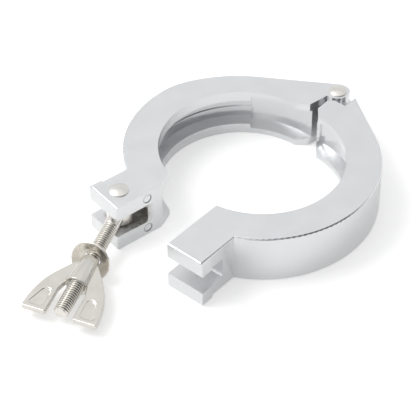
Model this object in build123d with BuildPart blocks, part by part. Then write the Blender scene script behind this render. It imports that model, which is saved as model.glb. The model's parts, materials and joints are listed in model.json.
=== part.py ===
from build123d import *
from math import acos, asin, atan2, cos, hypot, pi, radians, sin, sqrt, tan
import os

# Hinged two-half clamp for a pair of DN 50 vacuum flanges (75 mm rims), lying on its bottom face
# and partly open. Millimetres. Origin: centre of the flange seat of the bolt half, at mid-height.
# +Z runs along the pipe, +X points to the hinge, and the bolt half lies on the +Y side.

os.makedirs("parts", exist_ok=True)

# ---- Driving dimensions -------------------------------------------------------------------
# Flange pair that the clamp closes on
flange_r = 37.5         # rim radius
rim_pair = 9.9          # two 3 mm rims with the 3.9 mm centring ring between them
flank_angle = 15.0      # back of each rim, from the rim's face

# Half rings
height = 21.5           # along the pipe
lip_r = 33.5            # inner edge of the lips
ring_r = 47.4           # outer wall
seat_gap = 0.4          # groove root outside the rim
edge_round = 0.8        # rounded outer edges of the castings
corner_round = 1.5      # rounded ends of the slots
seat_span = 90.0        # arc of each half that bears on the flange
relief_depth = 0.8      # groove past the bearing arc: deeper
relief_width = 2.0      # and wider to each side
parting_width = 0.8     # narrow line at mid-height in the groove root
parting_depth = 0.4

# Hinge
hinge_out = 4.4         # pin outside the ring's wall
hinge_y = 1.9           # and towards the bolt half
ear_r = 5.2             # knuckle of the bolt half
tongue_r = 5.7          # knuckle of the jaw half
tongue_t = 9.4          # tongue between the two ears
knuckle_gap = 0.5       # round the knuckles
pocket_drop = 7.9       # from the pin down to the floor of the jaw half's pockets
pocket_bevel = 1.9      # corner between the jaw half's mating face and its pockets
side_gap = 0.3          # above and below the tongue
hinge_pin_r = 2.0
hinge_head_r = 3.5
back_inset = 2.9        # how far the back of the bolt half is flattened near the hinge
back_r = 57.0           # radius of that flattened back
back_blend = 30.0       # radius where it runs into the ring's wall

# Mating faces, measured with the clamp closed on its flange
bolt_half_jaw_y = 1.3
bolt_half_hinge_y = 2.6
jaw_half_jaw_y = -5.4
jaw_half_hinge_y = 1.4
split_step = 0.1        # the mating faces stop just short of the knuckle
relief_rise = 3.6       # oblique run-out of the lips at their ends: along Y
hinge_relief_run = 4.4  # and along X, at the hinge
jaw_relief_run = 6.9    # and at the lug

# Lugs
lug_out = 13.8          # outer end of both lugs, outside the ring's wall
lug_width = 16.3        # along Y
lip_length = 5.6        # raised lip at the end of each outboard face
lip_rise = 0.9
lip_round = 0.5         # how far the lip stays inside the lug's rounded edges
lug_pin_out = 6.6       # swing-bolt rivet, outside the ring's wall
lug_pin_inset = 7.9     # from the mating face
lug_pin_r = 2.25
lug_head_r = 3.8
bolt_slot_h = 8.2       # slot for the bolt's eye
bolt_slot_in = 1.0      # its closed end, inside the ring's wall
jaw_slot_h = 8.4        # slot for the bolt's shank
jaw_slot_out = 1.2      # its closed end, outside the ring's wall
ejector_r = 1.8         # round marks of the ejector pins on the lug's mating face
ejector_depth = 0.2

# Rivets
head_h = 1.3
head_rim = 0.35
tail_h = 1.0            # countersunk tail, flush with the bottom face
tail_flare = 0.9
pin_gap = 0.05          # running clearance on the pins

# Swing bolt, cup washer and wing nut
thread_r = 3.0          # M6
eye_r = 5.4
eye_t = 6.8
neck_bury = 1.5         # start of the neck inside the eye
eye_bore_r = 2.6        # loose on its rivet
eye_chamfer = 0.8
bolt_reach = 54.2       # pin to the end of the bolt
neck_r = 3.2
neck_length = 8.6       # pin to the start of the thread
end_chamfer = 0.6
washer_r = 8.0
washer_bore_gap = 0.25
washer_flat_r = 4.4
washer_t = 1.1
washer_dish = 1.8
washer_at = 24.4        # pin to the washer's flat side
nut_gap = 1.9           # thread that shows between the washer and the nut
nut_length = 13.0
nut_small_r = 3.8
nut_large_r = 4.7
nut_chamfer = 0.4
wing_t = 2.4
wing_overhang = 15.8    # wing tips beyond the hub's outer face
wing_reach = 15.3       # wing tips from the axis
wing_foot = 5.6         # inner edge of a wing tip from the axis
wing_corner = 1.2
wing_rim = 1.6          # raised rim round each wing's recess
wing_recess = 0.5
recess_length = 11.0
recess_round = 1.4

margin = 5.0            # how far the cutting shapes run past the metal

# Pose in which the clamp lies
open_angle = 10.6       # jaw half, from closed on the flange
bolt_angle = 209.2      # swing bolt, from +X
rest_gap = 0.03         # the washer's rim rests on the surface, at the low end of the eye's play

# ---- Derived sizes -------------------------------------------------------------------------
half_h = height / 2
root_r = flange_r + seat_gap
hinge_x = ring_r + hinge_out
lug_end_x = ring_r + lug_out
lug_pin_x = ring_r + lug_pin_out
lug_pin_y = bolt_half_jaw_y + lug_pin_inset
bolt_slot_end_x = ring_r - bolt_slot_in
jaw_slot_end_x = ring_r + jaw_slot_out
ear_pocket = ear_r + knuckle_gap
tongue_pocket = tongue_r + knuckle_gap
rim_at = washer_at + washer_dish + washer_t
droop = asin((half_h - rest_gap) / hypot(rim_at, washer_r)) - atan2(washer_r, rim_at)


def groove_half_width(r):
    """Half the width of the V groove at radius r: the flange pair's own profile."""
    return rim_pair / 2 + (flange_r - r) * tan(radians(flank_angle))


def radial_plane(frame, angle):
    """Plane through the frame's axis: local x points outward at the angle, local y up."""
    out = frame.x_dir * cos(radians(angle)) + frame.y_dir * sin(radians(angle))
    return Plane(origin=frame.origin, x_dir=out, z_dir=out.cross(frame.z_dir))


def flattened_disc(back_line_r, middle):
    """Ring disc whose wall is flattened to back_line_r at the middle angle. The flattened arc and
    the ring's wall meet in tangent arcs on both sides."""
    offset = back_r - back_line_r
    blend_centre = ring_r - back_blend
    turn = acos(
        ((back_r - back_blend) ** 2 - blend_centre ** 2 - offset ** 2) / (2 * blend_centre * offset))
    flat_turn = atan2(blend_centre * sin(turn), blend_centre * cos(turn) + offset)

    def on_ring(angle):
        return ring_r * cos(middle + angle), ring_r * sin(middle + angle)

    def on_flat(angle):
        x, y = back_r * cos(middle + angle), back_r * sin(middle + angle)
        return x - offset * cos(middle), y - offset * sin(middle)

    def on_blend(side):
        centre_angle = middle + side * turn
        angle = middle + side * (turn + flat_turn) / 2
        return (blend_centre * cos(centre_angle) + back_blend * cos(angle),
                blend_centre * sin(centre_angle) + back_blend * sin(angle))

    with BuildSketch() as disc:
        with BuildLine():
            ThreePointArc(on_ring(turn), on_ring(pi), on_ring(-turn))
            ThreePointArc(on_ring(-turn), on_blend(-1), on_flat(-flat_turn))
            ThreePointArc(on_flat(-flat_turn), on_flat(0), on_flat(flat_turn))
            ThreePointArc(on_flat(flat_turn), on_blend(1), on_ring(turn))
        make_face()
    return disc.sketch


def ring_outline(back_line_r, knuckle_r):
    """Ring disc with its tangent wedge to the hinge knuckle. Where back_line_r is under ring_r,
    the back on the +Y side is flattened to meet the wedge's line."""
    towards_hinge = atan2(hinge_y, hinge_x)
    tangent = acos((back_line_r - knuckle_r) / hypot(hinge_x, hinge_y))
    above, below = towards_hinge + tangent, towards_hinge - tangent
    with BuildSketch() as outline:
        if back_line_r < ring_r:
            add(flattened_disc(back_line_r, above))
        else:
            Circle(ring_r)
        with BuildLine():
            Polyline(
                (0, 0),
                (back_line_r * cos(above), back_line_r * sin(above)),
                (hinge_x + knuckle_r * cos(above), hinge_y + knuckle_r * sin(above)),
                (hinge_x + knuckle_r * cos(below), hinge_y + knuckle_r * sin(below)),
                (back_line_r * cos(below), back_line_r * sin(below)),
                close=True,
            )
        make_face()
        with Locations((hinge_x, hinge_y)):
            Circle(knuckle_r)
    return outline.sketch


def beyond_split(side, jaw_y, hinge_y, knuckle_r):
    """Everything past a half's mating faces, apart from its knuckle."""
    depth = ring_r + margin
    with BuildSketch() as region:
        with BuildLine():
            Polyline(
                (-lug_end_x - margin, jaw_y),
                (0, jaw_y),
                (0, hinge_y),
                (hinge_x + ring_r, hinge_y),
                (hinge_x + ring_r, -side * depth),
                (-lug_end_x - margin, -side * depth),
                close=True,
            )
        make_face()
        with Locations((hinge_x, hinge_y)):
            Circle(knuckle_r + split_step, mode=Mode.SUBTRACT)
    return region.sketch


def lug_outline(side, jaw_y, start_x, rise):
    """Part of the lug from its outer end to start_x, with its outboard face raised by rise.
    It runs past the mating face, where the split trims it."""
    inboard = jaw_y - side * margin
    outboard = jaw_y + side * (lug_width + rise)
    with BuildSketch() as outline:
        with BuildLine():
            Polyline(
                (start_x, inboard), (-lug_end_x, inboard), (-lug_end_x, outboard),
                (start_x, outboard), close=True,
            )
        make_face()
    return outline.sketch


def end_relief(x, y, run, side):
    """Oblique run-out of the lips at one end of a half: a triangle inside the bore's end."""
    reach = sqrt(lip_r ** 2 - (y + side * relief_rise) ** 2)
    sign = 1 if x > 0 else -1
    with BuildSketch() as relief:
        with BuildLine():
            Polyline(
                (sign * reach, y + side * relief_rise),
                (sign * (reach + run), y),
                (sign * (reach + run), y - side * margin),
                (sign * (reach - margin), y - side * margin),
                (sign * (reach - margin), y + side * relief_rise),
                close=True,
            )
        make_face()
    return relief.sketch


with BuildSketch() as seat_profile:
    inner_r = lip_r - margin
    with BuildLine():
        Polyline(
            (inner_r, -groove_half_width(inner_r)),
            (root_r, -groove_half_width(root_r)),
            (root_r, -parting_width / 2),
            (root_r + parting_depth, 0),
            (root_r, parting_width / 2),
            (root_r, groove_half_width(root_r)),
            (inner_r, groove_half_width(inner_r)),
            close=True,
        )
    make_face()

with BuildSketch() as relief_profile:
    deep_r = root_r + relief_depth
    with BuildLine():
        Polyline(
            (inner_r, -groove_half_width(inner_r) - relief_width),
            (deep_r, -groove_half_width(root_r) - relief_width),
            (deep_r, groove_half_width(root_r) + relief_width),
            (inner_r, groove_half_width(inner_r) + relief_width),
            close=True,
        )
    make_face()


def cut_bore(frame, side):
    """Bore, V groove over the bearing arc and the wider groove at both ends of the half."""
    with BuildSketch(frame.offset(-half_h - margin)) as bore:
        Circle(lip_r)
    extrude(bore.sketch, amount=height + 2 * margin, dir=frame.z_dir, mode=Mode.SUBTRACT)
    axis = Axis(frame.origin, frame.z_dir)
    with BuildSketch(radial_plane(frame, 0)) as seat:
        add(seat_profile.sketch)
    revolve(seat.sketch, axis=axis, mode=Mode.SUBTRACT)
    end_span = (180 - seat_span) / 2
    starts = (0, 180 - end_span) if side > 0 else (180, 360 - end_span)
    for start in starts:
        with BuildSketch(radial_plane(frame, start)) as relief:
            add(relief_profile.sketch)
        revolve(relief.sketch, axis=axis, revolution_arc=end_span, mode=Mode.SUBTRACT)


def half_blank(frame, side, outline, jaw_y, hinge_y, knuckle_r, hinge_run, jaw_run):
    """Rounded casting of one half, cut at its mating faces and bored for the flange."""
    with BuildSketch(frame.offset(-half_h)) as blank:
        add(outline)
        add(lug_outline(side, jaw_y, 0, 0))
    extrude(blank.sketch, amount=height, dir=frame.z_dir)
    rims = faces().sort_by(Axis.Z)
    fillet(rims[0].edges() + rims[-1].edges(), edge_round)
    with BuildSketch(frame.offset(lip_round - half_h)) as end_lip:
        add(lug_outline(side, jaw_y, lip_length - lug_end_x, lip_rise))
    extrude(end_lip.sketch, amount=height - 2 * lip_round, dir=frame.z_dir)
    with BuildSketch(frame.offset(-half_h - margin)) as waste:
        add(beyond_split(side, jaw_y, hinge_y, knuckle_r))
        add(end_relief(1, hinge_y, hinge_run, side))
        if jaw_run:
            add(end_relief(-1, jaw_y, jaw_run, side))
    extrude(waste.sketch, amount=height + 2 * margin, dir=frame.z_dir, mode=Mode.SUBTRACT)
    cut_bore(frame, side)


def frame_at(x, y, angle):
    """Horizontal frame at mid-height, turned about +Z."""
    along = Vector(cos(radians(angle)), sin(radians(angle)), 0)
    return Plane(origin=(x, y, 0), x_dir=along, z_dir=(0, 0, 1))


def slot(frame, end_x, slot_h, near_y, far_y):
    """Slot through a lug, open at its outer end, with rounded inner corners."""
    lug_face = Plane(
        origin=frame.origin + frame.y_dir * near_y, x_dir=frame.x_dir, z_dir=-frame.y_dir)
    with BuildSketch(lug_face) as opening:
        with Locations((-(lug_end_x + margin + end_x) / 2, 0)):
            Rectangle(lug_end_x + margin - end_x, slot_h)
        fillet(opening.vertices().group_by(Axis.X)[-1], corner_round)
    extrude(opening.sketch, amount=far_y - near_y, dir=frame.y_dir, mode=Mode.SUBTRACT)


# ---- Bolt half: half ring with the hinge ears and the swing-bolt lug --------------------------
bolt_frame = Plane.XY
tongue_room = tongue_t + 2 * side_gap
with BuildPart() as bolt_half:
    half_blank(
        bolt_frame, 1, ring_outline(ring_r - back_inset, ear_r),
        bolt_half_jaw_y, bolt_half_hinge_y, ear_r, hinge_relief_run, jaw_relief_run,
    )
    # Room for the tongue between the ears
    with BuildSketch(bolt_frame.offset(-tongue_room / 2)):
        with Locations((hinge_x - tongue_pocket, hinge_y + tongue_pocket)):
            Rectangle(ring_r, ring_r, align=(Align.MIN, Align.MAX))
    extrude(amount=tongue_room, mode=Mode.SUBTRACT)
    # Slot for the eye of the swing bolt
    slot(bolt_frame, bolt_slot_end_x, bolt_slot_h, bolt_half_jaw_y - margin,
         bolt_half_jaw_y + lug_width + lip_rise + margin)
    # Pin holes, with a countersink for each rivet's tail in the bottom face
    for pin_x, pin_y, pin_r in (
        (hinge_x, hinge_y, hinge_pin_r), (-lug_pin_x, lug_pin_y, lug_pin_r),
    ):
        with BuildSketch(Plane(origin=(pin_x, pin_y, 0), x_dir=(1, 0, 0), z_dir=(0, -1, 0))):
            with BuildLine():
                Polyline(
                    (0, -half_h - margin),
                    (pin_r + tail_flare + pin_gap, -half_h - margin),
                    (pin_r + tail_flare + pin_gap, -half_h),
                    (pin_r + pin_gap, -half_h + tail_h),
                    (pin_r + pin_gap, half_h + margin),
                    (0, half_h + margin),
                    close=True,
                )
            make_face()
        revolve(axis=Axis((pin_x, pin_y, 0), (0, 0, 1)), mode=Mode.SUBTRACT)
    # Ejector-pin marks on the lug's mating face, above and below the slot
    mark_z = (half_h + bolt_slot_h / 2) / 2
    with BuildSketch(Plane(origin=(0, bolt_half_jaw_y, 0), x_dir=(1, 0, 0), z_dir=(0, -1, 0))):
        with Locations((-bolt_slot_end_x, mark_z), (-bolt_slot_end_x, -mark_z)):
            Circle(ejector_r)
    extrude(amount=-ejector_depth, mode=Mode.SUBTRACT)

bolt_half.part.label = "bolt_half"
export_step(bolt_half.part, "parts/bolt_half.step")

# ---- Jaw half: half ring with the hinge tongue and the forked jaw -----------------------------
turn = radians(open_angle)
jaw_frame = frame_at(
    hinge_x * (1 - cos(turn)) + hinge_y * sin(turn),
    hinge_y * (1 - cos(turn)) - hinge_x * sin(turn),
    open_angle,
)
with BuildPart() as jaw_half:
    half_blank(
        jaw_frame, -1, ring_outline(ring_r, tongue_r),
        jaw_half_jaw_y, jaw_half_hinge_y, tongue_r, hinge_relief_run, 0,
    )
    # Square pockets for the ears, above and below the tongue, with a bevelled corner
    pocket_x = hinge_x - ear_pocket
    for low_z in (tongue_t / 2, -half_h - margin):
        with BuildSketch(jaw_frame.offset(low_z)):
            with BuildLine():
                Polyline(
                    (pocket_x - pocket_bevel, hinge_y + ring_r),
                    (pocket_x - pocket_bevel, jaw_half_hinge_y),
                    (pocket_x, jaw_half_hinge_y - pocket_bevel),
                    (pocket_x, hinge_y - pocket_drop),
                    (hinge_x + ring_r, hinge_y - pocket_drop),
                    (hinge_x + ring_r, hinge_y + ring_r),
                    close=True,
                )
            make_face()
        extrude(amount=half_h + margin - tongue_t / 2, mode=Mode.SUBTRACT)
    # Slot for the shank of the swing bolt
    slot(jaw_frame, jaw_slot_end_x, jaw_slot_h, jaw_half_jaw_y - lug_width - lip_rise - margin,
         jaw_half_jaw_y + margin)
    # Hinge bore
    with BuildSketch(jaw_frame.offset(-half_h)):
        with Locations((hinge_x, hinge_y)):
            Circle(hinge_pin_r + pin_gap)
    extrude(amount=height, mode=Mode.SUBTRACT)

jaw_half.part.label = "jaw_half"
export_step(jaw_half.part, "parts/jaw_half.step")


# ---- Rivets: low domed heads on top, tails spread flush below ---------------------------------
def rivet(pin_x, pin_y, pin_r, head_r):
    """Rivet standing on the axis at (pin_x, pin_y)."""
    with BuildPart() as body:
        with BuildSketch(Plane(origin=(pin_x, pin_y, 0), x_dir=(1, 0, 0), z_dir=(0, -1, 0))):
            with BuildLine():
                Polyline(
                    (0, half_h + head_h),
                    (0, -half_h),
                    (pin_r + tail_flare, -half_h),
                    (pin_r, -half_h + tail_h),
                    (pin_r, half_h),
                    (head_r, half_h),
                    (head_r, half_h + head_rim),
                    (head_r * 0.75, half_h + head_rim + (head_h - head_rim) * 0.45),
                    (head_r * 0.4, half_h + head_rim + (head_h - head_rim) * 0.85),
                    close=True,
                )
            make_face()
        revolve(axis=Axis((pin_x, pin_y, 0), (0, 0, 1)))
    return body.part


hinge_rivet = rivet(hinge_x, hinge_y, hinge_pin_r, hinge_head_r)
hinge_rivet.label = "hinge_rivet"
export_step(hinge_rivet, "parts/hinge_rivet.step")

bolt_rivet = rivet(-lug_pin_x, lug_pin_y, lug_pin_r, lug_head_r)
bolt_rivet.label = "bolt_rivet"
export_step(bolt_rivet, "parts/bolt_rivet.step")

# ---- Swing bolt, hanging at the low end of its play, with the cup washer on the surface --------
heading = Vector(cos(radians(bolt_angle)), sin(radians(bolt_angle)), 0)
shank_dir = heading * cos(droop) - Vector(0, 0, 1) * sin(droop)
across = Vector(0, 0, 1).cross(heading)
shank_up = shank_dir.cross(across)
# Local x along the shank, local y across it and level, z along the eye's hole
shank_frame = Plane(origin=(-lug_pin_x, lug_pin_y, 0), x_dir=shank_dir, z_dir=shank_up)
shank_axis = Axis(shank_frame.origin, shank_dir)

with BuildPart() as swing_bolt:
    with BuildSketch(shank_frame.offset(-eye_t / 2)):
        Circle(eye_r)
    extrude(amount=eye_t)
    chamfer(swing_bolt.edges().filter_by(GeomType.CIRCLE), eye_chamfer)
    with BuildSketch(shank_frame):
        with BuildLine():
            Polyline(
                (eye_r - neck_bury, 0),
                (eye_r - neck_bury, neck_r),
                (neck_length, thread_r),
                (bolt_reach - end_chamfer, thread_r),
                (bolt_reach, thread_r - end_chamfer),
                (bolt_reach, 0),
                close=True,
            )
        make_face()
    revolve(axis=shank_axis)
    with BuildSketch(shank_frame.offset(-eye_t / 2)):
        Circle(eye_bore_r)
    extrude(amount=eye_t, mode=Mode.SUBTRACT)

swing_bolt.part.label = "swing_bolt"
export_step(swing_bolt.part, "parts/swing_bolt.step")

# ---- Cup washer, hollow side to the nut --------------------------------------------------------
bend = washer_dish * 0.35
bend_r = (washer_flat_r + washer_r) / 2
with BuildPart() as cup_washer:
    bore_r = thread_r + washer_bore_gap
    with BuildSketch(shank_frame):
        with BuildLine():
            Polyline(
                (washer_at, bore_r),
                (washer_at, washer_flat_r),
                (washer_at + bend, bend_r),
                (washer_at + washer_dish, washer_r),
                (washer_at + washer_dish + washer_t, washer_r),
                (washer_at + bend + washer_t, bend_r),
                (washer_at + washer_t, washer_flat_r),
                (washer_at + washer_t, bore_r),
                close=True,
            )
        make_face()
    revolve(axis=shank_axis)

cup_washer.part.label = "cup_washer"
export_step(cup_washer.part, "parts/cup_washer.step")

# ---- Wing nut ----------------------------------------------------------------------------------
nut_start = washer_at + washer_t + nut_gap
nut_end = nut_start + nut_length
wing_end = nut_end + wing_overhang
with BuildPart() as wing_nut:
    # Wings, flaring past the hub to blunt ends
    with BuildSketch(shank_frame.offset(-wing_t / 2)) as wings:
        with BuildLine():
            Spline(
                (nut_start + nut_chamfer, thread_r),
                (nut_start + nut_length / 2, wing_reach * 0.5),
                (nut_end, wing_reach * 0.77),
                (nut_end + wing_overhang / 2, wing_reach * 0.94),
                (wing_end, wing_reach),
            )
            Polyline(
                (wing_end, wing_reach),
                (wing_end, wing_foot),
                (nut_end, nut_large_r),
                (nut_end - nut_chamfer, thread_r),
                (nut_start + nut_chamfer, thread_r),
            )
        make_face()
        fillet(wings.vertices().group_by(Axis.X)[0], wing_corner)
        mirror(about=Plane.XZ)
    extrude(amount=wing_t)
    with BuildSketch(shank_frame):
        with BuildLine():
            Polyline(
                (nut_start, 0),
                (nut_start, nut_small_r - nut_chamfer),
                (nut_start + nut_chamfer, nut_small_r),
                (nut_end - nut_chamfer, nut_large_r),
                (nut_end, nut_large_r - nut_chamfer),
                (nut_end, 0),
                close=True,
            )
        make_face()
    revolve(axis=shank_axis)
    with BuildSketch(Plane(origin=shank_frame.origin, z_dir=shank_dir)):
        Circle(thread_r + pin_gap)
    extrude(amount=wing_end + margin, mode=Mode.SUBTRACT)
    # Recess with a raised rim on both faces of each wing
    for face_z in (-wing_t / 2, wing_t / 2 - wing_recess):
        with BuildSketch(shank_frame.offset(face_z)) as recesses:
            with BuildLine():
                Polyline(
                    (wing_end - wing_rim, wing_foot + wing_rim),
                    (wing_end - wing_rim, wing_reach - wing_rim),
                    (wing_end - recess_length, wing_foot + 2.6 * wing_rim),
                    (wing_end - recess_length, wing_foot + wing_rim),
                    close=True,
                )
            make_face()
            fillet(recesses.vertices(), recess_round)
            mirror(about=Plane.XZ)
        extrude(recesses.sketch, amount=wing_recess, dir=shank_frame.z_dir, mode=Mode.SUBTRACT)

wing_nut.part.label = "wing_nut"
export_step(wing_nut.part, "parts/wing_nut.step")
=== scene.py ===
import json
from math import cos, hypot, pi, radians, sin, sqrt

import bmesh
import bpy
from mathutils import Matrix, Vector


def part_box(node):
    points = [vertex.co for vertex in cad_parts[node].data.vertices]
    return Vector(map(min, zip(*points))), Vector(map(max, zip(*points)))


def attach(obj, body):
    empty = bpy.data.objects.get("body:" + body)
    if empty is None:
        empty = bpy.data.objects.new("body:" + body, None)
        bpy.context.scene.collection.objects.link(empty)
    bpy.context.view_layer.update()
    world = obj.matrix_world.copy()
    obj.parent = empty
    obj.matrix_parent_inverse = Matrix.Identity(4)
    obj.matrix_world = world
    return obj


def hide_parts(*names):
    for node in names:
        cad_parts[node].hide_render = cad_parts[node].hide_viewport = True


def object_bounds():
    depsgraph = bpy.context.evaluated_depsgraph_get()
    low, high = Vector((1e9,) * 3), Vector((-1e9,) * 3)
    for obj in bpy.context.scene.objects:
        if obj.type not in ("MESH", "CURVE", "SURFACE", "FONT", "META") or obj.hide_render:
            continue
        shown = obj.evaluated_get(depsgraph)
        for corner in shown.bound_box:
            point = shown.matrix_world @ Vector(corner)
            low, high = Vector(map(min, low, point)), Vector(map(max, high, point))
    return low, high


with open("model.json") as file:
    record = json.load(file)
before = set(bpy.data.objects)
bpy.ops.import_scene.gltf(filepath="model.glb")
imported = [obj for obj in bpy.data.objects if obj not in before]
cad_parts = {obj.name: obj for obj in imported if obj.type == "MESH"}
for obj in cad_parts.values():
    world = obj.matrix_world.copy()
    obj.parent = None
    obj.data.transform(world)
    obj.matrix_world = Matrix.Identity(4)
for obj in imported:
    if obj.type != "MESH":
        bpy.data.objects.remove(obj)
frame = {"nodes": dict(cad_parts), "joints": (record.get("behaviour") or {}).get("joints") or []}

CAD_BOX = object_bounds()
JOINTS = {joint["name"]: joint for joint in frame["joints"]}
MM = 0.001

# ---- Sizes that the materials share with the shapes, in millimetres ----
THREAD_R = 3.0
THREAD_DEPTH = 0.5
NECK_END = 8.6          # where the bolt's thread begins, measured from the rivet
BOLT_END = 54.2
END_CHAMFER = 0.6
MARK_X = -46.4          # ejector marks on the lug's mating face, above and below its middle
MARK_Y = 1.3
MARK_Z = 7.425
MARK_R = 1.8


# ---- Helpers ----
def link(name, mesh):
    """New object for a mesh, in the scene's collection."""
    obj = bpy.data.objects.new(name, mesh)
    bpy.context.scene.collection.objects.link(obj)
    return obj


def apply_modifiers(obj):
    """Replaces the object's mesh with what its modifiers make of it."""
    graph = bpy.context.evaluated_depsgraph_get()
    mesh = bpy.data.meshes.new_from_object(obj.evaluated_get(graph))
    obj.modifiers.clear()
    obj.data = mesh


def smooth(obj, angle=None):
    """Shades the object smooth, apart from edges sharper than the angle in degrees."""
    mesh = obj.data
    mesh.polygons.foreach_set("use_smooth", [True] * len(mesh.polygons))
    if angle is not None:
        mesh.set_sharp_from_angle(angle=radians(angle))
    mesh.update()


def lathe(name, profile, matrix, segments=96):
    """Closed profile of (x, r) points in millimetres, turned about the matrix's local x axis."""
    bm = bmesh.new()
    rings = []
    for x, r in profile:
        if r < 1e-6:
            rings.append([bm.verts.new((x * MM, 0, 0))])
        else:
            turn = [2 * pi * k / segments for k in range(segments)]
            rings.append([bm.verts.new((x * MM, r * cos(a) * MM, r * sin(a) * MM)) for a in turn])
    for ring, after in zip(rings, rings[1:] + rings[:1]):
        for k in range(segments):
            quad = [ring[k % len(ring)], ring[(k + 1) % len(ring)],
                    after[(k + 1) % len(after)], after[k % len(after)]]
            corners = list(dict.fromkeys(quad))
            if len(corners) > 2:
                bm.faces.new(corners)
    bmesh.ops.recalc_face_normals(bm, faces=bm.faces)
    mesh = bpy.data.meshes.new(name)
    bm.to_mesh(mesh)
    bm.free()
    mesh.transform(matrix)
    return link(name, mesh)


def rounded(profile, radii, steps=5):
    """Profile with its corners rounded: radii maps a corner's index to its radius."""
    points = []
    count = len(profile)
    for k, corner in enumerate(profile):
        r = radii.get(k, 0)
        if not r:
            points.append(corner)
            continue
        here = Vector(corner)
        back = (Vector(profile[k - 1]) - here).normalized()
        ahead = (Vector(profile[(k + 1) % count]) - here).normalized()
        half = back.angle(ahead) / 2
        bisector = (back + ahead).normalized()
        centre = here + bisector * (r / sin(half))
        start = here + back * (r * cos(half) / sin(half)) - centre
        end = here + ahead * (r * cos(half) / sin(half)) - centre
        for n in range(steps + 1):
            direction = start.lerp(end, n / steps).normalized() * r
            points.append(tuple(centre + direction))
    return points


# ---- Materials ----
class Nodes:
    """Short calls for building a material's node tree."""

    def __init__(self, name):
        self.material = bpy.data.materials.new(name)
        self.material.use_nodes = True
        self.tree = self.material.node_tree
        self.shader = self.tree.nodes["Principled BSDF"]

    def add(self, kind, inputs=None, **settings):
        """New node with its settings; an input's value is a number, a tuple or another socket."""
        node = self.tree.nodes.new(kind)
        for key, value in settings.items():
            setattr(node, key, value)
        for key, value in (inputs or {}).items():
            if isinstance(value, bpy.types.NodeSocket):
                self.tree.links.new(value, node.inputs[key])
            else:
                node.inputs[key].default_value = value
        return node

    def ramp(self, value, low, high, at=(0.0, 1.0)):
        """Maps a value between two limits to a number between low and high."""
        node = self.add("ShaderNodeMapRange", {
            "Value": value, "From Min": at[0], "From Max": at[1], "To Min": low, "To Max": high,
        }, interpolation_type="SMOOTHSTEP")
        return node.outputs["Result"]

    def inside(self, value, edge, fade):
        """1 where a value in metres is under the edge, down to 0 past the fade, both in mm."""
        return self.ramp(value, 1, 0, at=(edge * MM, (edge + fade) * MM))

    def place(self):
        """Point on the object, in its own coordinates."""
        return self.add("ShaderNodeTexCoord").outputs["Object"]

    def distance(self, centre):
        """Distance in plan from an upright axis through the centre, in metres."""
        flat = self.add("ShaderNodeVectorMath", {0: self.place(), 1: (1, 1, 0)},
                        operation="MULTIPLY").outputs["Vector"]
        node = self.add("ShaderNodeVectorMath", {0: flat, 1: (*centre, 0)}, operation="DISTANCE")
        return node.outputs["Value"]

    def both(self, a, b):
        """Product of two values, which for two masks is where both of them hold."""
        return self.add("ShaderNodeMath", {0: a, 1: b}, operation="MULTIPLY").outputs[0]

    def noise(self, scale, detail=4.0, roughness=0.55):
        """Noise over the object's own coordinates; the scale is in features per metre."""
        node = self.add("ShaderNodeTexNoise", {
            "Vector": self.place(), "Scale": scale, "Detail": detail, "Roughness": roughness,
        })
        return node.outputs["Fac"]

    def mix(self, factor, a, b):
        """Colour between a and b; each may be a socket or three numbers."""
        node = self.add("ShaderNodeMix", data_type="RGBA")
        for socket, value in (("Factor", factor), ("A", a), ("B", b)):
            target = [s for s in node.inputs if s.name == socket and s.enabled][0]
            if isinstance(value, bpy.types.NodeSocket):
                self.tree.links.new(value, target)
            else:
                target.default_value = value if socket == "Factor" else (*value, 1)
        return [s for s in node.outputs if s.enabled][0]

    def bump(self, height, strength, distance, after=None):
        """Normal bent by a height, on top of an earlier normal if one is given."""
        inputs = {"Height": height, "Strength": strength, "Distance": distance}
        if after is not None:
            inputs["Normal"] = after
        return self.add("ShaderNodeBump", inputs).outputs["Normal"]

    def use(self, socket, value):
        """Feeds a value to the material's shader."""
        self.tree.links.new(value, self.shader.inputs[socket])


CAST_TONES = ((0.775, 0.785, 0.795), (0.815, 0.82, 0.825))
# The next colour is painted shade: a darker base colour in the flange groove stands in for the shade
# inside it.
GROOVE_SHADE_TONE = (0.7, 0.71, 0.72)
GROOVE_R = 37.9
GROOVE_HALF = 5.8
# The next two colours are painted shade over a real cast mottle: the lug's slot is painted dark,
# standing in for the shade inside it.
SLOT_SHADE_TONES = ((0.36, 0.35, 0.33), (0.66, 0.65, 0.63))
SLOT_PLACE = (-0.049, 0.01)     # middle of the lug's slot in plan, in metres
SLOT_R = 8.5
SLOT_HALF = 4.2
SLOT_ROUGHER = 0.25
SATIN_ROUGHER = 0.2
WALL_ROUGH = (0.12, 0.2)
# The next colour is painted shade: a grey line round each ejector mark stands in for the shade at
# its rim.
MARK_RIM_SHADE = (0.5, 0.5, 0.5)
MARK_LINE = 0.3                 # half the width of the painted shade line round an ejector mark's rim
# The next colour is painted shade: darker thread roots stand in for the shade in the thread's
# grooves.
THREAD_ROOT_SHADE = (0.24, 0.23, 0.2)


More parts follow.
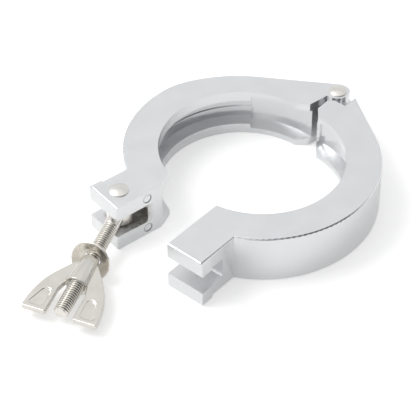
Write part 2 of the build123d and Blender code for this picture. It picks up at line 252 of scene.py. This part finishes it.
def cast_aluminium():
    """Bright die casting: satin faces above and below and more polished walls. Painted shade darkens
    the flange groove and the lug's slot, which is also mottled and rough, and draws grey lines round
    the ejector marks.
    """
    n = Nodes("cast_aluminium")
    n.shader.inputs["Metallic"].default_value = 0.9
    normal = n.add("ShaderNodeNewGeometry").outputs["Normal"]
    up = n.add("ShaderNodeSeparateXYZ", {"Vector": normal}).outputs["Z"]
    level = n.add("ShaderNodeMath", {0: up}, operation="ABSOLUTE").outputs[0]
    flat = n.ramp(level, 0.0, 1.0, at=(0.9, 0.995))
    cloud = n.noise(90, detail=3)
    place = n.add("ShaderNodeSeparateXYZ", {"Vector": n.place()}).outputs
    height = n.add("ShaderNodeMath", {0: place["Z"]}, operation="ABSOLUTE").outputs[0]
    # Painted shade: mask of the flange groove, where the base colour is darkened.
    groove_shade = n.both(n.inside(n.distance((0, 0)), GROOVE_R, fade=0.6),
                    n.inside(height, GROOVE_HALF, fade=0.4))
    # Painted shade: mask of the lug's slot, which is painted dark and also made rougher.
    slot = n.both(n.inside(n.distance(SLOT_PLACE), SLOT_R, fade=2.0),
                  n.inside(height, SLOT_HALF, fade=0.3))
    mottle = n.ramp(n.noise(500, detail=5, roughness=0.7), 0, 1, at=(0.38, 0.62))
    skin = n.mix(cloud, *CAST_TONES)
    skin = n.mix(groove_shade, skin, GROOVE_SHADE_TONE)
    skin = n.mix(slot, skin, n.mix(mottle, *SLOT_SHADE_TONES))
    # Painted shade: a grey line round each ejector mark on the lug's mating face.
    face = n.add("ShaderNodeCombineXYZ", {"X": place["X"], "Z": height}).outputs[0]
    reach = n.add("ShaderNodeVectorMath", {0: face, 1: (MARK_X * MM, 0, MARK_Z * MM)},
                  operation="DISTANCE").outputs["Value"]
    line = n.add("ShaderNodeMath", {0: reach, 1: MARK_R * MM, 2: MARK_LINE * MM},
                 operation="COMPARE").outputs[0]
    facing = n.add("ShaderNodeMath", {0: place["Y"], 1: MARK_Y * MM, 2: 0.4 * MM},
                   operation="COMPARE").outputs[0]
    skin = n.mix(n.both(line, facing), skin, MARK_RIM_SHADE)
    n.use("Base Color", skin)
    rough = n.ramp(cloud, *WALL_ROUGH, at=(0.3, 0.7))
    for mask, rougher in ((flat, SATIN_ROUGHER), (slot, SLOT_ROUGHER)):
        rough = n.add("ShaderNodeMath", {0: mask, 1: rougher, 2: rough},
                      operation="MULTIPLY_ADD").outputs[0]
    n.use("Roughness", rough)
    waves = n.bump(n.noise(160, detail=2), 0.25, 0.0002)
    n.use("Normal", n.bump(n.noise(2500, detail=3), 0.08, 0.00003, after=waves))
    return n.material


def nickel_steel(name, dark, pale, rough, threaded=False):
    """Warm nickel-plated steel with a fine satin grain. On the threaded bolt the thread's roots are
    painted darker, as painted shade."""
    n = Nodes(name)
    n.shader.inputs["Metallic"].default_value = 1.0
    cloud = n.noise(200, detail=1)
    metal = n.mix(cloud, dark, pale)
    if threaded:
        from_pin = n.add("ShaderNodeVectorMath", {0: n.place(), 1: JOINTS["nut_spin"]["pos_m"]},
                         operation="SUBTRACT").outputs["Vector"]
        aside = n.add("ShaderNodeVectorMath", {0: from_pin, 1: JOINTS["nut_spin"]["axis"]},
                      operation="CROSS_PRODUCT").outputs["Vector"]
        radius = n.add("ShaderNodeVectorMath", {0: aside}, operation="LENGTH").outputs["Value"]
        along = n.add("ShaderNodeVectorMath", {0: from_pin, 1: JOINTS["nut_spin"]["axis"]},
                      operation="DOT_PRODUCT").outputs["Value"]
        past_neck = n.ramp(along, 0, 1, at=((NECK_END - 0.1) * MM, (NECK_END + 0.1) * MM))
        before_end = n.inside(along, BOLT_END - END_CHAMFER - 0.1, fade=0.1)
        # Painted shade: the thread's roots, between the neck and the end chamfer, are painted
        # darker.
        root_shade = n.both(n.inside(radius, THREAD_R - THREAD_DEPTH, fade=0.4),
                      n.both(past_neck, before_end))
        metal = n.mix(root_shade, metal, THREAD_ROOT_SHADE)
    n.use("Base Color", metal)
    n.use("Roughness", n.ramp(cloud, rough - 0.03, rough + 0.04, at=(0.3, 0.7)))
    n.use("Normal", n.bump(n.noise(2200, detail=2), 0.03, 0.00001))
    return n.material


ALUMINIUM = cast_aluminium()
RIVET = nickel_steel("rivet_nickel", (0.76, 0.74, 0.69), (0.82, 0.8, 0.76), 0.3)
BOLT = nickel_steel("bolt_nickel", (0.84, 0.81, 0.76), (0.88, 0.85, 0.8), 0.26, threaded=True)
NUT = nickel_steel("nut_nickel", (0.74, 0.715, 0.665), (0.78, 0.755, 0.71), 0.22)


def finish(obj, material, slot, body, *nodes):
    """Gives a new piece its material and its body, and hides the CAD nodes that it stands for. The
    slot is not used.
    """
    obj.data.materials.clear()
    obj.data.materials.append(material)
    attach(obj, body)
    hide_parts(*nodes)


# ---- Half rings: the castings with their sharp edges rounded ----
EDGE_ROUND = 0.3
SHARP_ANGLE = 32.0
FLAT_ANGLE = 0.05       # faces that meet at less than this are joined
MERGE = 0.002           # points nearer than this are joined


def at_mark(point):
    """Whether a point in metres lies on the outline of one of the lug's ejector marks."""
    x, y, z = (value / MM for value in point)
    return y <= MARK_Y + 0.5 and abs(hypot(x - MARK_X, abs(z) - MARK_Z) - MARK_R) < 0.1


def soft_casting(node, body):
    """Copy of a half ring with its sharp edges rounded, apart from the ejector marks' outlines."""
    obj = link(node + "_casting", frame["nodes"][node].data.copy())
    bm = bmesh.new()
    bm.from_mesh(obj.data)
    bmesh.ops.remove_doubles(bm, verts=bm.verts, dist=MERGE * MM)
    bmesh.ops.dissolve_limit(bm, angle_limit=radians(FLAT_ANGLE), verts=bm.verts, edges=bm.edges)
    weight = bm.edges.layers.float.new("bevel_weight_edge")
    for edge in bm.edges:
        sharp = edge.is_manifold and edge.calc_face_angle() > radians(SHARP_ANGLE)
        edge[weight] = float(sharp and not any(at_mark(vert.co) for vert in edge.verts))
    bm.to_mesh(obj.data)
    bm.free()
    bevel = obj.modifiers.new("round", "BEVEL")
    bevel.width = EDGE_ROUND * MM
    bevel.segments = 3
    bevel.limit_method = "WEIGHT"
    bevel.use_clamp_overlap = True
    bevel.miter_outer = "MITER_ARC"
    smooth(obj)
    weigh = obj.modifiers.new("flat_faces", "WEIGHTED_NORMAL")
    weigh.weight = 100
    weigh.mode = "FACE_AREA"
    apply_modifiers(obj)
    finish(obj, ALUMINIUM, "cast_aluminium", body, node)


soft_casting("bolt_half", "clamp_body")
soft_casting("jaw_half", "jaw")

# ---- Rivets ----
HEAD_H = 1.3
HEAD_RIM = 0.35
HEAD_CHAMFER = 0.1
TAIL_FLARE = 0.9
TAIL_DEPTH = 1.0
DOME_STEPS = 16


def rivet(node, pin_r, head_r):
    """Domed rivet with a flared tail, on its node's own axis."""
    low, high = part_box(node)
    top = high.z / MM - HEAD_H
    bottom = low.z / MM
    dome_r = (head_r ** 2 + (HEAD_H - HEAD_RIM) ** 2) / (2 * (HEAD_H - HEAD_RIM))
    profile = [(bottom, 0), (bottom, pin_r + TAIL_FLARE), (bottom + TAIL_DEPTH, pin_r),
               (top, pin_r), (top, head_r - HEAD_CHAMFER), (top + HEAD_CHAMFER, head_r),
               (top + HEAD_RIM, head_r)]
    for k in range(1, DOME_STEPS + 1):
        r = head_r * (1 - k / DOME_STEPS)
        sag = dome_r - sqrt(dome_r ** 2 - r ** 2)
        profile.append((top + HEAD_H - sag, r))
    centre = (low + high) / 2
    stand = Matrix.Translation((centre.x, centre.y, 0)) @ Matrix.Rotation(-pi / 2, 4, "Y")
    obj = lathe(node + "_piece", profile, stand)
    smooth(obj, 35)
    finish(obj, RIVET, "rivet_steel", "clamp_body", node)


rivet("hinge_rivet", pin_r=2.0, head_r=3.5)
rivet("bolt_rivet", pin_r=2.25, head_r=3.8)

# ---- Frame of the swing bolt: x along the shank, from the rivet ----
SHANK = Vector(JOINTS["nut_spin"]["axis"])
ACROSS = Vector((0, 0, 1)).cross(SHANK).normalized()
SHANK_FRAME = Matrix.Translation(JOINTS["nut_spin"]["pos_m"]) @ Matrix((
    SHANK, ACROSS, SHANK.cross(ACROSS),
)).transposed().to_4x4()

# ---- Swing bolt, its thread drawn as geometry ----
PITCH = 1.0
CREST_HALF = 0.08       # share of a turn on either side of the crest's middle
FLANK = 0.32            # share of a turn from crest to root
TURN_STEPS = 12
SHANK_SEGMENTS = 40
NECK_START = 3.6
NECK_R = 3.2
EYE_R = 5.4
EYE_HOLE_R = 2.6
EYE_HALF = 3.4
EYE_HOLE_ROUND = 0.3
EYE_ROUND = 0.9


def thread_radius(x, turn):
    """Radius of the M6 thread at x along the shank and a turn angle as a fraction of a circle."""
    phase = (x / PITCH - turn) % 1
    flank = min(max((abs(phase - 0.5) - CREST_HALF) / FLANK, 0), 1)
    radius = THREAD_R - THREAD_DEPTH * flank
    if x < NECK_END + PITCH:
        radius += (THREAD_R - radius) * max(0, 1 - (x - NECK_END) / PITCH)
    return min(radius, THREAD_R - END_CHAMFER + max(BOLT_END - x, 0))


def bolt_shank():
    """Neck, threaded shank and chamfered end."""
    bm = bmesh.new()
    segments = SHANK_SEGMENTS
    rows = [(NECK_START, NECK_R), (NECK_END, THREAD_R)]
    count = int((BOLT_END - NECK_END) / PITCH * TURN_STEPS)
    rows += [(NECK_END + (BOLT_END - NECK_END) * k / count, None) for k in range(1, count + 1)]
    rings = []
    for x, plain_r in rows:
        ring = []
        for k in range(segments):
            radius = plain_r or thread_radius(x, k / segments)
            angle = 2 * pi * k / segments
            ring.append(bm.verts.new((x * MM, radius * cos(angle) * MM, radius * sin(angle) * MM)))
        rings.append(ring)
    for ring, after in zip(rings, rings[1:]):
        for k in range(segments):
            bm.faces.new((ring[k], ring[(k + 1) % segments], after[(k + 1) % segments], after[k]))
    bm.faces.new(list(reversed(rings[0])))
    bm.faces.new(rings[-1])
    bmesh.ops.recalc_face_normals(bm, faces=bm.faces)
    mesh = bpy.data.meshes.new("bolt_shank")
    bm.to_mesh(mesh)
    bm.free()
    mesh.transform(SHANK_FRAME)
    obj = link("bolt_shank", mesh)
    smooth(obj, 40)
    finish(obj, BOLT, "bolt_steel", "bolt", "swing_bolt")


def bolt_eye():
    """Ring of the eye, round the rivet."""
    corner = [(-EYE_HALF, EYE_HOLE_R), (EYE_HALF, EYE_HOLE_R), (EYE_HALF, EYE_R), (-EYE_HALF, EYE_R)]
    profile = rounded(corner, {0: EYE_HOLE_ROUND, 1: EYE_HOLE_ROUND, 2: EYE_ROUND, 3: EYE_ROUND})
    upright = SHANK_FRAME @ Matrix.Rotation(-pi / 2, 4, "Y")
    obj = lathe("bolt_eye", profile, upright)
    smooth(obj, 40)
    finish(obj, BOLT, "bolt_steel", "bolt", "swing_bolt")


bolt_shank()
bolt_eye()

# ---- Cup washer ----
WASHER_AT = 24.4
WASHER_T = 1.1
WASHER_DISH = 1.8
WASHER_CURVE = 1.4
WASHER_R = 8.0
WASHER_FLAT_R = 4.4
WASHER_HOLE_R = 3.45
WASHER_STEPS = 14
WASHER_HOLE_ROUND = 0.15
WASHER_RIM_ROUND = 0.35
WASHER_LEAN = 21.0      # loose on the thread, it leans as in the photo
WASHER_SHIFT = Vector((0.9, 0, -0.35))


def dish(r):
    """How far the washer's dished wall has risen at radius r."""
    out = max(r - WASHER_FLAT_R, 0) / (WASHER_R - WASHER_FLAT_R)
    return WASHER_DISH * out ** WASHER_CURVE


def cup_washer():
    """Dished washer, leaning in its loose bore."""
    count = WASHER_STEPS
    radii = [WASHER_HOLE_R + (WASHER_R - WASHER_HOLE_R) * k / count for k in range(count + 1)]
    outer = [(WASHER_AT + dish(r), r) for r in radii]
    inner = [(WASHER_AT + WASHER_T + dish(r), r) for r in reversed(radii)]
    corners = {0: WASHER_HOLE_ROUND, count: WASHER_RIM_ROUND,
               count + 1: WASHER_RIM_ROUND, 2 * count + 1: WASHER_HOLE_ROUND}
    pivot = Vector((WASHER_AT + WASHER_T / 2, 0, 0)) * MM
    lean = (Matrix.Translation(pivot + WASHER_SHIFT * MM)
            @ Matrix.Rotation(-radians(WASHER_LEAN), 4, "Y") @ Matrix.Translation(-pivot))
    obj = lathe("washer_piece", rounded(outer + inner, corners), SHANK_FRAME @ lean)
    smooth(obj, 50)
    finish(obj, BOLT, "bolt_steel", "washer", "cup_washer")


cup_washer()

# ---- Wing nut ----
NUT_START = 27.4
NUT_END = 40.4
HUB_SMALL_R = 3.8
HUB_LARGE_R = 4.7
BORE_PLAY = 0.05
SINK_NARROW = 0.3       # countersink at the narrow end
SINK_WIDE = 1.2         # and its depth at the wide end
HUB_FACE = 0.5          # width of the flat ring at the wide end
WING_HALF = 1.2
WING_END = 56.2
WING_BACK = ((NUT_START + 0.4, 3.0), (33.9, 7.65), (NUT_END, 11.8), (48.3, 14.4), (WING_END, 15.3))
WING_ROOT = 3.2         # inner edge where it is buried in the hub
WING_GAP = 4.4          # inner edge just past the hub
WING_FOOT = 5.6         # inner edge further out
WING_EDGE = 0.45        # rounding of the edges between faces and walls
WING_CORNER = 0.7       # rounding of the tip's corners, seen from above
RECESS = ((45.2, 7.1), (45.2, 10.7), (54.5, 14.1), (54.5, 7.1))
RECESS_ROUND = 1.7
RECESS_DEPTH = 0.4
RECESS_WALL = 0.55


def wing_back(x):
    """Outer edge of a wing at x, measured from the axis: a smooth line through its posts."""
    posts = WING_BACK
    for k in range(len(posts) - 1):
        if x <= posts[k + 1][0] or k == len(posts) - 2:
            break
    slopes = []
    for n in (k, k + 1):
        before, after = posts[max(n - 1, 0)], posts[min(n + 1, len(posts) - 1)]
        slopes.append((after[1] - before[1]) / (after[0] - before[0]))
    run = posts[k + 1][0] - posts[k][0]
    t = (x - posts[k][0]) / run
    return (posts[k][1] * (1 + 2 * t) * (1 - t) ** 2 + slopes[0] * run * t * (1 - t) ** 2
            + posts[k + 1][1] * t * t * (3 - 2 * t) - slopes[1] * run * t * t * (1 - t))


def wing_front(x):
    """Inner edge of a wing at x: buried in the hub, then beside the bolt."""
    if x <= NUT_END - 0.6:
        return WING_ROOT
    past = max(x - NUT_END, 0) / (WING_END - NUT_END)
    return WING_GAP + (WING_FOOT - WING_GAP) * min(past * 4, 1)


def inside_recess(x, y):
    """Distance from the recess's rounded outline, positive inside it."""
    nearest = None
    outside = 0.0
    count = len(RECESS)
    for k in range(count):
        (ax, ay), (bx, by) = RECESS[k], RECESS[(k + 1) % count]
        length = hypot(bx - ax, by - ay)
        depth = ((by - ay) * (x - ax) - (bx - ax) * (y - ay)) / length
        depth = depth - RECESS_ROUND
        nearest = depth if nearest is None else min(nearest, depth)
        outside += min(depth, 0) ** 2
    return RECESS_ROUND + (nearest if nearest > 0 else -sqrt(outside))


def spaced(start, end, step, edge):
    """Values from start to end, closer together within an edge at both ends."""
    fine = [edge * part for part in (0.0, 0.08, 0.22, 0.45, 0.7, 1.0)]
    count = max(int((end - start - 2 * edge) / step), 1)
    middle = [start + edge + (end - start - 2 * edge) * k / count for k in range(1, count)]
    return [start + d for d in fine] + middle + [end - d for d in reversed(fine)]


def wing(side):
    """One wing as a closed sheet over a grid: along the shank, then from its inner to its outer
    edge, above and below."""
    bm = bmesh.new()
    along = spaced(NUT_START + 1.2, WING_END, 0.2, WING_EDGE)
    across = spaced(0.0, 1.0, 0.022, 0.04)
    layers = []
    for face in (1, -1):
        rows = []
        for x in along:
            left = max(WING_CORNER - (WING_END - x), 0)
            cut = WING_CORNER - sqrt(WING_CORNER ** 2 - left ** 2)
            low, high = wing_front(x) + cut, wing_back(x) - cut
            row = []
            for v in across:
                y = low + (high - low) * v
                edge = max(min(y - low, high - y, WING_END - x, WING_EDGE), 0)
                lift = WING_HALF - WING_EDGE + sqrt(WING_EDGE ** 2 - (WING_EDGE - edge) ** 2)
                depth = min(max(inside_recess(x, y) / RECESS_WALL, 0), 1)
                lift -= RECESS_DEPTH * depth * depth * (3 - 2 * depth)
                row.append(bm.verts.new((x * MM, side * y * MM, face * lift * MM)))
            rows.append(row)
        layers.append(rows)
        for row, after in zip(rows, rows[1:]):
            for k in range(len(across) - 1):
                bm.faces.new((row[k], row[k + 1], after[k + 1], after[k]))
    rims = []
    for rows in layers:
        rims.append(rows[0] + [row[-1] for row in rows[1:]] + rows[-1][-2::-1]
                    + [row[0] for row in rows[-2:0:-1]])
    for k in range(len(rims[0])):
        n = (k + 1) % len(rims[0])
        bm.faces.new((rims[0][k], rims[0][n], rims[1][n], rims[1][k]))
    bmesh.ops.recalc_face_normals(bm, faces=bm.faces)
    mesh = bpy.data.meshes.new("wing")
    bm.to_mesh(mesh)
    bm.free()
    mesh.transform(SHANK_FRAME)
    name = "wing_left" if side > 0 else "wing_right"
    obj = link(name, mesh)
    smooth(obj, 35)
    finish(obj, NUT, "nut_steel", "nut", "wing_nut")


def nut_hub():
    """Tapered hub with its bore countersunk at both ends."""
    bore = THREAD_R + BORE_PLAY
    corner = [(NUT_START, bore + SINK_NARROW), (NUT_START, HUB_SMALL_R), (NUT_END, HUB_LARGE_R),
              (NUT_END, HUB_LARGE_R - HUB_FACE), (NUT_END - SINK_WIDE, bore),
              (NUT_START + SINK_NARROW, bore)]
    profile = rounded(corner, {1: 0.4, 2: 0.35, 3: 0.1})
    obj = lathe("nut_hub", profile, SHANK_FRAME)
    smooth(obj, 35)
    finish(obj, NUT, "nut_steel", "nut", "wing_nut")


nut_hub()
wing(1)
wing(-1)

# ---- Camera, floor and light ----
VIEW_AZ = -38.76
VIEW_EL = 42.38
VIEW_DISTANCE = 0.7125
LENS = 154.3
TARGET = Vector((-0.01913, -0.00302, CAD_BOX[0][2]))
FLOOR_R = 3.0
FLOOR_GAP = 0.00002
FLOOR_TONE = (0.78, 0.78, 0.775)
FLOOR_GLOW = 0.22       # what the floor adds to the light on the object
FLOOR_GLOW_SEEN = 0.4   # what it adds to its own look in the camera
KEY_PLACE = (-0.5, 0.55, 1.0)
KEY_SIZE = 0.8
KEY_ENERGY = 7


def studio_camera():
    """The photo's view, aimed at the target from the given azimuth and elevation."""
    az, el = radians(VIEW_AZ), radians(VIEW_EL)
    away = Vector((sin(az) * cos(el), -cos(az) * cos(el), sin(el)))
    camera = bpy.data.cameras.new("camera")
    camera.lens = LENS
    camera.sensor_width = 36
    camera.clip_start = 0.01
    obj = bpy.data.objects.new("camera", camera)
    obj.location = TARGET + away * VIEW_DISTANCE
    obj.rotation_euler = away.to_track_quat("Z", "Y").to_euler()
    bpy.context.scene.collection.objects.link(obj)
    bpy.context.scene.camera = obj


def floor():
    """Pale floor that keeps the object's soft shadow."""
    bm = bmesh.new()
    bmesh.ops.create_circle(bm, cap_ends=True, segments=64, radius=FLOOR_R)
    mesh = bpy.data.meshes.new("floor")
    bm.to_mesh(mesh)
    bm.free()
    obj = link("floor", mesh)
    obj.location.z = CAD_BOX[0][2] - FLOOR_GAP
    material = bpy.data.materials.new("floor_paper")
    material.use_nodes = True
    tree = material.node_tree
    shader = tree.nodes["Principled BSDF"]
    shader.inputs["Base Color"].default_value = (*FLOOR_TONE, 1)
    shader.inputs["Roughness"].default_value = 0.9
    shader.inputs["Specular IOR Level"].default_value = 0.0
    shader.inputs["Emission Color"].default_value = (1, 1, 1, 1)
    seen = tree.nodes.new("ShaderNodeLightPath").outputs["Is Camera Ray"]
    glow = tree.nodes.new("ShaderNodeMapRange")
    glow.inputs["To Min"].default_value = FLOOR_GLOW
    glow.inputs["To Max"].default_value = FLOOR_GLOW_SEEN
    tree.links.new(seen, glow.inputs["Value"])
    tree.links.new(glow.outputs["Result"], shader.inputs["Emission Strength"])
    obj.data.materials.append(material)


def key_lamp():
    """Round lamp above and behind the object, aimed at the frame's origin."""
    lamp = bpy.data.lights.new("key", "AREA")
    lamp.shape = "DISK"
    lamp.size = KEY_SIZE
    lamp.energy = KEY_ENERGY
    obj = bpy.data.objects.new("key", lamp)
    obj.location = KEY_PLACE
    obj.rotation_euler = Vector(KEY_PLACE).to_track_quat("Z", "Y").to_euler()
    bpy.context.scene.collection.objects.link(obj)


# Colour of the room by height, from the horizon at 0 to straight up at 1.
ROOM = ((0.0, (0.6, 0.61, 0.62)), (0.3, (0.64, 0.65, 0.66)), (0.7, (0.75, 0.76, 0.775)),
        (0.85, (0.88, 0.88, 0.88)), (1.0, (0.92, 0.92, 0.92)))
# The darker side: its colour, its direction, and the angles from it where it starts and ends to
# fade into the room.
DARK = (0.12, 0.12, 0.13)
DARK_AZ = 280.0
DARK_EL = 14.0
DARK_INNER = 25.0
DARK_OUTER = 58.0


def studio_world():
    """Pale room, brightest overhead, with one darker side in front for the walls to mirror."""
    world = bpy.data.worlds.new("studio")
    world.use_nodes = True
    tree = world.node_tree
    background = tree.nodes["Background"]
    direction = tree.nodes.new("ShaderNodeTexCoord").outputs["Generated"]
    height = tree.nodes.new("ShaderNodeSeparateXYZ")
    tree.links.new(direction, height.inputs[0])
    ceiling = tree.nodes.new("ShaderNodeValToRGB")
    stops = ceiling.color_ramp
    stops.interpolation = "EASE"
    for place, colour in ROOM:
        stop = stops.elements.new(place) if 0 < place < 1 else stops.elements[int(place)]
        stop.color = (*colour, 1)
    tree.links.new(height.outputs["Z"], ceiling.inputs[0])
    towards = tree.nodes.new("ShaderNodeVectorMath")
    towards.operation = "DOT_PRODUCT"
    az, el = radians(DARK_AZ), radians(DARK_EL)
    towards.inputs[1].default_value = (cos(az) * cos(el), sin(az) * cos(el), sin(el))
    tree.links.new(direction, towards.inputs[0])
    dark = tree.nodes.new("ShaderNodeMapRange")
    dark.interpolation_type = "SMOOTHSTEP"
    dark.inputs["From Min"].default_value = cos(radians(DARK_OUTER))
    dark.inputs["From Max"].default_value = cos(radians(DARK_INNER))
    tree.links.new(towards.outputs["Value"], dark.inputs["Value"])
    room = tree.nodes.new("ShaderNodeMix")
    room.data_type = "RGBA"
    # With colours, the mix node's sockets are 0 (factor), 6 and 7, and its result is 2.
    tree.links.new(dark.outputs["Result"], room.inputs[0])
    tree.links.new(ceiling.outputs["Color"], room.inputs[6])
    room.inputs[7].default_value = (*DARK, 1)
    tree.links.new(room.outputs[2], background.inputs["Color"])
    background.inputs["Strength"].default_value = 1.0
    bpy.context.scene.world = world


studio_camera()
floor()
key_lamp()
studio_world()
bpy.context.scene.view_settings.view_transform = "Standard"
